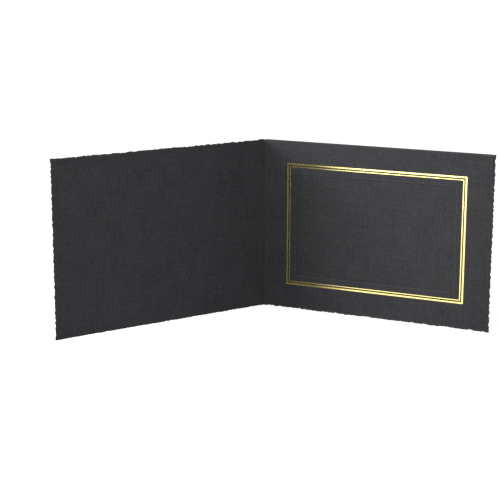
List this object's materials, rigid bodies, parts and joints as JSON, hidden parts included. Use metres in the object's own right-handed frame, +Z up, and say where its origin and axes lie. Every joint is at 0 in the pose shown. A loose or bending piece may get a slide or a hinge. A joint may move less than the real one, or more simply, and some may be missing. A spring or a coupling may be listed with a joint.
{
  "type": "photo folder",
  "caption": "Standing book-style photo folder of black textured board with deckled edges, a hinged cover, and a windowed mat framed by a stamped gold double line.",
  "frame": {"origin": "middle of the standing footprint of the open folder, on the table", "axes": "+Z up along the spine crease, +X along the frame side away from the spine, -Y the way the framed face looks"},
  "size_m": [0.2982, 0.1678, 0.1429],
  "materials": {
    "board": "charcoal black dyed board with a fine linen emboss",
    "board_inside": "charcoal black dyed board with a fine linen emboss",
    "gold_foil": "hot-stamped bright gold foil",
    "glue": "dried white paper glue"
  },
  "bodies": {
    "frame_side": {"back_panel": "board_inside", "frame_mat": "board", "top_fold": "board", "foil_line_inner": "gold_foil", "foil_line_outer": "gold_foil", "glue_strip_foot": "glue", "glue_strip_spine": "glue", "spine_fold": "board"},
    "cover": {"cover_panel": "board"}
  },
  "joints": [
    {"name": "cover_fold", "type": "hinge", "parent": "frame_side", "child": "cover", "pos_m": [-0.04777, 0.08291, 0.07145], "axis": [0, 0, 1], "range_deg": [-59, 121], "deforming": ["spine_fold"]}
  ]
}
